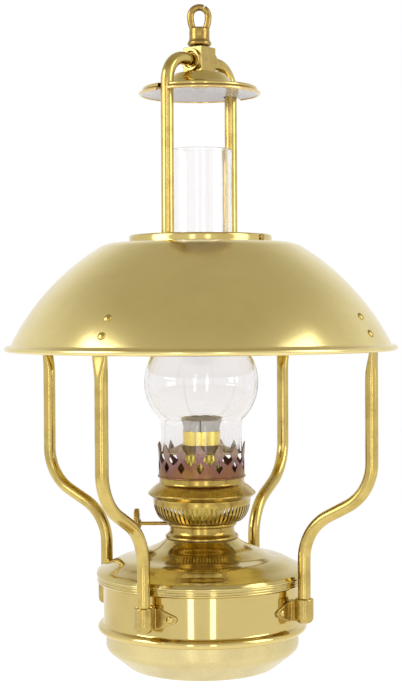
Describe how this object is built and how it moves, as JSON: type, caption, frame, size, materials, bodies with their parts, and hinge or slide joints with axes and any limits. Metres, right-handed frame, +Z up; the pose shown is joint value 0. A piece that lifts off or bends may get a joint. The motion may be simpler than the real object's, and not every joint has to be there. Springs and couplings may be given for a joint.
{
  "type": "hanging ship lantern",
  "caption": "Hanging brass oil lantern: swivel eye, rod hanger with smoke bell, domed shade, bent arms, banded lift-out tank, round-wick burner and ball chimney.",
  "frame": {"origin": "where the hook bears inside the top of the hanging eye, on the lantern's centre line", "axes": "+Z up along the centre line, +X along the right arm and +Y along the back arm, with the four arms on +X, -X, +Y and -Y"},
  "size_m": [0.3132, 0.3132, 0.5288],
  "materials": {
    "polished_brass": "mirror-polished, lightly marked",
    "satin_brass": "satin, fine spun lines",
    "burner_brass": "polished with light tarnish",
    "heat_tinted_brass": "heat-tinted red-brown and purple",
    "white_enamel": "white stove enamel on sheet brass",
    "gasket_cork": "matte, oil-darkened",
    "wick_cotton": "woven cotton, charred at the rim",
    "chimney_glass": "clear blown glass"
  },
  "bodies": {
    "eye": {"hanging_eye": "polished_brass"},
    "lantern": {"swivel_screw": "polished_brass", "hanger_block": "polished_brass", "hanger_rod_front": "polished_brass", "hanger_rod_back": "polished_brass", "bell_washer": "polished_brass", "bell_cap": "polished_brass", "bell_distance_tube": "polished_brass", "bell_disc": "white_enamel", "bell_screw": "polished_brass", "shade_collar": "polished_brass", "collar_screw": "polished_brass", "rod_washers": "polished_brass", "rod_nuts": "polished_brass", "shade": "polished_brass", "shade_rivets": "polished_brass", "arm_front": "polished_brass", "arm_right": "polished_brass", "arm_back": "polished_brass", "arm_left": "polished_brass", "socket_front": "polished_brass", "socket_right": "polished_brass", "socket_back": "polished_brass", "socket_left": "polished_brass", "socket_rivets": "polished_brass", "holder_band": "polished_brass"},
    "tank": {"tank_bowl": "satin_brass", "tank_dome": "polished_brass", "tank_collar": "polished_brass"},
    "gasket": {"burner_gasket": "gasket_cork"},
    "burner": {"burner_ring": "burner_brass", "burner_floor": "burner_brass", "burner_basket": "burner_brass", "burner_dish": "burner_brass", "burner_crown": "heat_tinted_brass", "chimney_seat": "burner_brass", "wick_tube": "burner_brass", "air_tube": "burner_brass", "spindle_bush": "burner_brass"},
    "wick": {"wick": "wick_cotton"},
    "winder": {"winder_spindle": "burner_brass", "feed_wheels": "burner_brass", "winder_knob": "burner_brass"},
    "chimney": {"chimney": "chimney_glass"}
  },
  "joints": [
    {"name": "eye_swivel", "type": "hinge", "parent": "eye", "child": "lantern", "pos_m": [0, 0, -0.0234], "axis": [0, 0, 1], "continuous": true},
    {"name": "tank_lift", "type": "slide", "parent": "lantern", "child": "tank", "axis": [0, 0, 1], "range_m": [0, 0.018]},
    {"name": "burner_rise", "type": "slide", "parent": "tank", "child": "gasket", "axis": [0, 0, 1], "range_m": [0, 0.00401]},
    {"name": "burner_unscrew", "type": "hinge", "parent": "gasket", "child": "burner", "pos_m": [0, 0, -0.4204], "axis": [0, 0, 1], "range_deg": [0, 720]},
    {"name": "chimney_lift", "type": "slide", "parent": "burner", "child": "chimney", "axis": [0, 0, 1], "range_m": [0, 0.016]},
    {"name": "wick_feed", "type": "slide", "parent": "burner", "child": "wick", "axis": [0, 0, 1], "range_m": [-0.009, 0.012]},
    {"name": "wick_knob", "type": "hinge", "parent": "burner", "child": "winder", "pos_m": [-0.00912, 0.01632, -0.4118], "axis": [-0.8729, -0.4879, 0], "range_deg": [-123.8, 164.7]}
  ],
  "couplings": [
    {"joint": "wick_knob", "follows": "wick_feed", "rad_per_m": 238.1},
    {"joint": "burner_rise", "follows": "burner_unscrew", "m_per_rad": 0.00031831}
  ]
}
